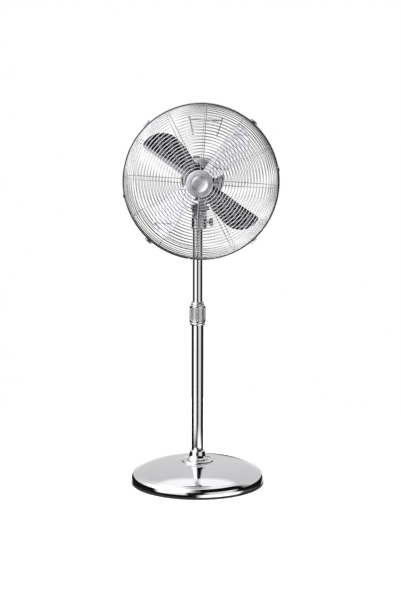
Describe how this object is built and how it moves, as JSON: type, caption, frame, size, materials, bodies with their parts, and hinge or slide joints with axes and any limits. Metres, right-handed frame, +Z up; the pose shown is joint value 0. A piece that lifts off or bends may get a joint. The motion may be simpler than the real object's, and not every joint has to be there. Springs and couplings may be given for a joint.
{
  "type": "pedestal fan",
  "caption": "Chrome pedestal fan on a round weighted base, with a telescopic pole, wire guards, metal blades, and a tilting, oscillating head.",
  "frame": {"origin": "where the pole's axis meets the floor", "axes": "+Z up along the pole, the fan faces -Y, +X is to the right of a person facing the fan"},
  "size_m": [0.4284, 0.417, 1.093],
  "materials": {
    "chrome": "mirror chrome plate",
    "chrome_wire": "bright chrome wire",
    "satin_metal": "satin chrome, fluted",
    "cast_metal": "bright die casting",
    "badge": "satin spun aluminium",
    "blade": "polished aluminium sheet",
    "steel": "machined steel",
    "iron": "cast iron",
    "black": "black moulded plastic",
    "gloss_black": "gloss black plastic",
    "nylon": "natural nylon",
    "rubber": "matt rubber",
    "motor": "bright plated casing",
    "bronze": "sintered bronze",
    "copper": "enamelled copper wire",
    "dial": "metallised plastic"
  },
  "bodies": {
    "stand": {"foot_ring": "rubber", "base_pan": "black", "base_weight": "iron", "base_cover": "chrome", "base_collar": "chrome", "base_bolt": "steel", "pole_plug": "steel", "lower_pole": "chrome", "collet": "black", "lock_ring": "chrome"},
    "collar": {"height_collar": "satin_metal"},
    "extension": {"guide_bush": "black", "upper_pole": "chrome", "neck_socket": "cast_metal", "control_housing": "cast_metal", "speed_switch": "black", "timer_unit": "black", "cord_gland": "black", "tilt_bolt": "steel"},
    "neck_clamp": {"neck_screw": "steel", "neck_knob": "gloss_black"},
    "speed_control": {"speed_dial": "dial"},
    "timer_control": {"timer_dial": "dial"},
    "tilt_clamp": {"tilt_knob": "gloss_black"},
    "tilt_head": {"tilt_bracket": "cast_metal", "swivel_pin": "steel", "link_post": "steel"},
    "head": {"motor_front_cover": "motor", "motor_rear_cover": "motor", "stator_core": "steel", "motor_windings": "copper", "front_bearing": "bronze", "rear_bearing": "bronze", "gearbox_case": "cast_metal", "capacitor": "black", "cover_screws": "steel", "rear_guard": "chrome_wire", "guard_nut": "black", "front_guard": "chrome_wire", "hub_badge": "badge", "rim_band": "chrome", "carry_handle": "chrome_wire", "side_clips": "chrome"},
    "spin": {"motor_shaft": "steel", "rotor": "steel", "blade_hub": "black", "blade_1": "blade", "blade_2": "blade", "blade_3": "blade", "blade_4": "blade", "blade_rivets": "blade", "spinner_nut": "gloss_black"},
    "clutch": {"clutch_knob": "gloss_black"},
    "wheel": {"worm_wheel": "nylon"},
    "crank": {"crank_disc": "steel"},
    "link": {"link_bar": "steel"},
    "clip_1_lever": {"clip_1": "chrome"},
    "clip_2_lever": {"clip_2": "chrome"},
    "clip_3_lever": {"clip_3": "chrome"},
    "clip_4_lever": {"clip_4": "chrome"}
  },
  "joints": [
    {"name": "height_slide", "type": "slide", "parent": "stand", "child": "extension", "axis": [0, 0, 1], "range_m": [-0.17, 0.08]},
    {"name": "collar_turn", "type": "hinge", "parent": "stand", "child": "collar", "pos_m": [0, 0, 0.495], "axis": [0, 0, 1], "range_deg": [0, 150]},
    {"name": "neck_knob_turn", "type": "hinge", "parent": "extension", "child": "neck_clamp", "pos_m": [0.035, 0, 0.756], "axis": [1, 0, 0], "range_deg": [0, 300]},
    {"name": "speed_dial_turn", "type": "hinge", "parent": "extension", "child": "speed_control", "pos_m": [-0.00525, -0.025, 0.7785], "axis": [0, 1, 0], "range_deg": [0, 135]},
    {"name": "timer_dial_turn", "type": "hinge", "parent": "extension", "child": "timer_control", "pos_m": [0.01625, -0.025, 0.7785], "axis": [0, 1, 0], "range_deg": [0, 300]},
    {"name": "tilt_knob_turn", "type": "hinge", "parent": "extension", "child": "tilt_clamp", "pos_m": [0.03, 0, 0.795], "axis": [1, 0, 0], "range_deg": [0, 300]},
    {"name": "tilt", "type": "hinge", "parent": "extension", "child": "tilt_head", "pos_m": [0.015, 0, 0.795], "axis": [1, 0, 0], "range_deg": [-15, 20]},
    {"name": "oscillation", "type": "hinge", "parent": "tilt_head", "child": "head", "pos_m": [0.015, 0, 0.83], "axis": [0, 0, 1], "range_deg": [-37.5, 37.5]},
    {"name": "blade_spin", "type": "hinge", "parent": "head", "child": "spin", "pos_m": [0.015, -0.15, 0.879], "axis": [0, 1, 0], "continuous": true},
    {"name": "worm_wheel_spin", "type": "hinge", "parent": "head", "child": "wheel", "pos_m": [-0.005, 0.055, 0.879], "axis": [0, 0, 1], "continuous": true},
    {"name": "clutch_press", "type": "slide", "parent": "head", "child": "clutch", "axis": [0, 0, 1], "range_m": [-0.005, 0]},
    {"name": "crank_turn", "type": "hinge", "parent": "head", "child": "crank", "pos_m": [-0.005, 0.055, 0.82], "axis": [0, 0, 1], "range_deg": [-90, 90]},
    {"name": "link_swing", "type": "hinge", "parent": "crank", "child": "link", "pos_m": [0.00268, 0.0614, 0.815], "axis": [0, 0, 1], "range_deg": [-90, 90]},
    {"name": "clip_1_flip", "type": "hinge", "parent": "head", "child": "clip_1_lever", "pos_m": [0.15835, -0.144, 1.04218], "axis": [0.7513, 0, -0.66], "range_deg": [0, 90]},
    {"name": "clip_2_flip", "type": "hinge", "parent": "head", "child": "clip_2_lever", "pos_m": [-0.13313, -0.144, 1.03785], "axis": [0.7314, 0, 0.682], "range_deg": [0, 90]},
    {"name": "clip_3_flip", "type": "hinge", "parent": "head", "child": "clip_3_lever", "pos_m": [-0.1292, -0.144, 0.71658], "axis": [-0.7478, 0, 0.6639], "range_deg": [0, 90]},
    {"name": "clip_4_flip", "type": "hinge", "parent": "head", "child": "clip_4_lever", "pos_m": [0.16034, -0.144, 0.71759], "axis": [-0.7431, 0, -0.6691], "range_deg": [0, 90]}
  ],
  "couplings": [
    {"joint": "worm_wheel_spin", "follows": "blade_spin", "ratio": 0.025},
    {"joint": "crank_turn", "follows": "oscillation", "ratio": -2.4},
    {"joint": "link_swing", "follows": "oscillation", "ratio": 2.255}
  ]
}
